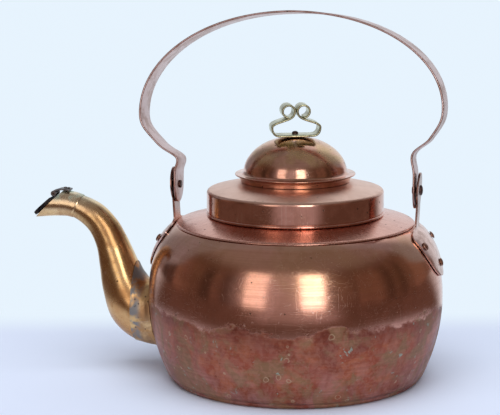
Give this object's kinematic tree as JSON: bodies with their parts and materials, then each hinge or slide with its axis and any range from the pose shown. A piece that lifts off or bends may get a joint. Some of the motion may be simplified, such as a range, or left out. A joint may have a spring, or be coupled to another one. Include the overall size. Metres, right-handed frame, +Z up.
{
  "type": "stove kettle",
  "caption": "Round-bellied copper stove kettle with a brass swan-neck spout, hinged spout flap, swinging strap handle and lift-off domed lid with a scrolled knob.",
  "frame": {"origin": "centre of the flat base, on the surface that it stands on", "axes": "+Z up; the spout points to -X and the handle's two pivots lie on a line along X; -Y is the front"},
  "size_m": [0.3435, 0.24, 0.299],
  "materials": {
    "body_copper": "polished copper with heat tarnish low down",
    "lid_copper": "polished copper, lightly pitted",
    "strap_copper": "dull worn copper",
    "tinned_copper": "tinned copper, satin",
    "spout_brass": "polished brass",
    "solder_brass": "soldered brass, satin",
    "knob_brass": "pale yellow brass",
    "dark_rivet": "darkened rivet",
    "grey_steel": "dull grey metal",
    "blackened_iron": "blackened metal"
  },
  "bodies": {
    "kettle_body": {"base_pan": "body_copper", "body_wall": "body_copper", "shoulder_plate": "body_copper", "neck_collar": "tinned_copper", "spout_collar": "solder_brass", "spout_tube": "spout_brass", "spout_nozzle": "spout_brass", "flap_bracket": "grey_steel", "bracket_rivet_1": "grey_steel", "bracket_rivet_2": "grey_steel", "flap_pin": "dark_rivet", "ear_left": "strap_copper", "ear_left_rivet_1": "strap_copper", "ear_left_rivet_2": "strap_copper", "ear_left_rivet_3": "strap_copper", "ear_right": "strap_copper", "ear_right_rivet_1": "strap_copper", "ear_right_rivet_2": "strap_copper", "ear_right_rivet_3": "strap_copper", "pivot_rivet_left": "dark_rivet", "pivot_rivet_right": "dark_rivet"},
    "handle": {"handle_strap": "strap_copper"},
    "lid": {"lid_cap": "lid_copper", "lid_dome": "lid_copper", "lid_knob": "knob_brass", "knob_rivet": "dark_rivet"},
    "flap": {"spout_flap": "blackened_iron"}
  },
  "joints": [
    {"name": "handle_swing", "type": "hinge", "parent": "kettle_body", "child": "handle", "pos_m": [0, 0, 0.1565], "axis": [1, 0, 0], "range_deg": [-108, 120]},
    {"name": "lid_lift", "type": "slide", "parent": "kettle_body", "child": "lid", "axis": [0, 0, 1], "range_m": [0, 0.065]},
    {"name": "flap_hinge", "type": "hinge", "parent": "kettle_body", "child": "flap", "pos_m": [-0.20394, 0, 0.14614], "axis": [0, 1, 0], "range_deg": [-1.5, 98]}
  ]
}
